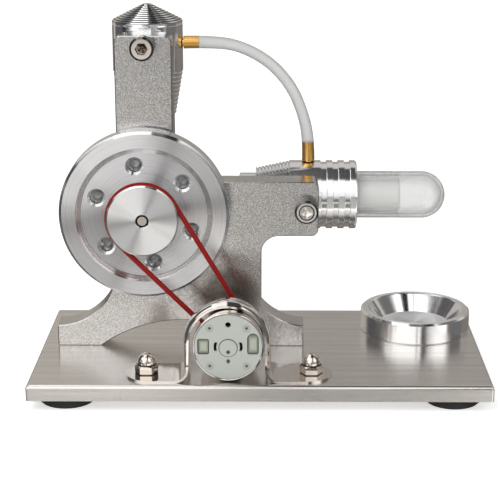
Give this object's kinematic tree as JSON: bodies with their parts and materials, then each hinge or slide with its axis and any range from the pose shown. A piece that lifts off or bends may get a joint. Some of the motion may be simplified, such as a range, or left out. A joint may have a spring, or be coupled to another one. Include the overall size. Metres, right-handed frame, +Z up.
{
  "type": "stirling engine model",
  "caption": "Hot-air engine model on a folded base: glass-capped hot cylinder, upright power cylinder, crank, flywheel, and a belt to a small generator.",
  "frame": {"origin": "centre of the bounding box's footprint, on the floor that the feet stand on", "axes": "+X along the base to the hot end, +Z up, flywheel side towards -Y"},
  "size_m": [0.16, 0.082, 0.1318],
  "materials": {
    "base_steel": "brushed along the length",
    "rubber_black": "matt",
    "frame_silver": "fine blasted",
    "polished_steel": "turned and polished",
    "plain_steel": "bright",
    "bright_plating": "plated",
    "cylinder_metal": "turned and polished",
    "strap_steel": "polished",
    "brass": "turned",
    "bronze": "sintered",
    "copper": "enamelled",
    "clear_glass": "clear",
    "displacer_metal": "satin",
    "clear_hose": "clear, slightly milky",
    "belt_red": "smooth",
    "seal": "silicone",
    "piston_metal": "ground",
    "motor_face": "plated",
    "holder_plastic": "moulded",
    "magnet": "ferrite",
    "core_iron": "stamped stack"
  },
  "bodies": {
    "engine": {"base_plate": "base_steel", "foot_front_left": "rubber_black", "foot_front_right": "rubber_black", "foot_rear_left": "rubber_black", "foot_rear_right": "rubber_black", "engine_frame": "frame_silver", "frame_screws": "plain_steel", "power_cylinder_screw": "bright_plating", "displacer_cylinder_screw": "bright_plating", "bearing_outer_rings": "plain_steel", "bearing_balls": "plain_steel", "power_cylinder": "cylinder_metal", "power_cylinder_head": "cylinder_metal", "head_gasket": "seal", "displacer_cylinder": "cylinder_metal", "gland_bush": "bronze", "hot_cap": "clear_glass", "hot_cap_seal": "seal", "power_nipple": "brass", "displacer_nipple": "brass", "air_hose": "clear_hose", "burner_ring": "polished_steel", "burner_ring_screws": "plain_steel", "motor_can": "plain_steel", "motor_end_cap": "motor_face", "brush_holders": "holder_plastic", "motor_magnets": "magnet", "motor_bushes": "bronze", "motor_brushes": "brass", "motor_strap": "strap_steel", "strap_bolts": "plain_steel", "acorn_nuts": "bright_plating", "drive_belt": "belt_red"},
    "crank": {"main_shaft": "plain_steel", "flywheel": "polished_steel", "belt_pulley": "polished_steel", "pulley_set_screw": "plain_steel", "shaft_spacer": "plain_steel", "bearing_inner_rings": "plain_steel", "crank_disc": "polished_steel", "crank_pin": "plain_steel", "crank_pin_washer": "brass", "crank_pin_clip": "plain_steel"},
    "dowel": {"crank_dowel": "plain_steel"},
    "power_piston_group": {"power_piston": "piston_metal"},
    "displacer_group": {"displacer_shell": "displacer_metal", "displacer_plug": "displacer_metal", "displacer_rod": "plain_steel", "displacer_fork": "brass"},
    "power_link": {"power_con_rod": "strap_steel", "power_rod_bush": "bronze", "power_wrist_pin": "plain_steel"},
    "displacer_link": {"displacer_con_rod": "strap_steel", "displacer_rod_bush": "bronze", "displacer_wrist_pin": "plain_steel"},
    "rotor": {"motor_shaft": "plain_steel", "rotor_core": "core_iron", "rotor_windings": "copper", "commutator": "copper", "motor_pulley": "polished_steel"}
  },
  "joints": [
    {"name": "crank_spin", "type": "hinge", "parent": "engine", "child": "crank", "pos_m": [-0.041, 0.0043, 0.0615], "axis": [0, -1, 0], "continuous": true},
    {"name": "motor_spin", "type": "hinge", "parent": "engine", "child": "rotor", "pos_m": [-0.01085, -0.028, 0.0225], "axis": [0, -1, 0], "continuous": true},
    {"name": "power_rod_pivot", "type": "hinge", "parent": "crank", "child": "power_link", "pos_m": [-0.0452, 0.0204, 0.0615], "axis": [0, -1, 0], "continuous": true},
    {"name": "displacer_rod_pivot", "type": "hinge", "parent": "crank", "child": "displacer_link", "pos_m": [-0.0452, 0.0232, 0.0615], "axis": [0, -1, 0], "continuous": true},
    {"name": "dowel_turn", "type": "hinge", "parent": "crank", "child": "dowel", "pos_m": [-0.0431, 0.0136, 0.0615], "axis": [0, -1, 0], "continuous": true},
    {"name": "power_piston_stroke", "type": "hinge", "parent": "dowel", "child": "power_piston_group", "pos_m": [-0.041, 0.0218, 0.0615], "axis": [0, -1, 0], "continuous": true},
    {"name": "displacer_stroke", "type": "hinge", "parent": "dowel", "child": "displacer_group", "pos_m": [-0.0452, 0.0218, 0.0615], "axis": [0, -1, 0], "continuous": true}
  ],
  "couplings": [
    {"joint": "motor_spin", "follows": "crank_spin", "ratio": 1.9683},
    {"joint": "power_rod_pivot", "follows": "crank_spin", "ratio": -1},
    {"joint": "displacer_rod_pivot", "follows": "crank_spin", "ratio": -1},
    {"joint": "dowel_turn", "follows": "crank_spin", "ratio": -2},
    {"joint": "power_piston_stroke", "follows": "crank_spin", "ratio": 1},
    {"joint": "displacer_stroke", "follows": "crank_spin", "ratio": 1}
  ]
}
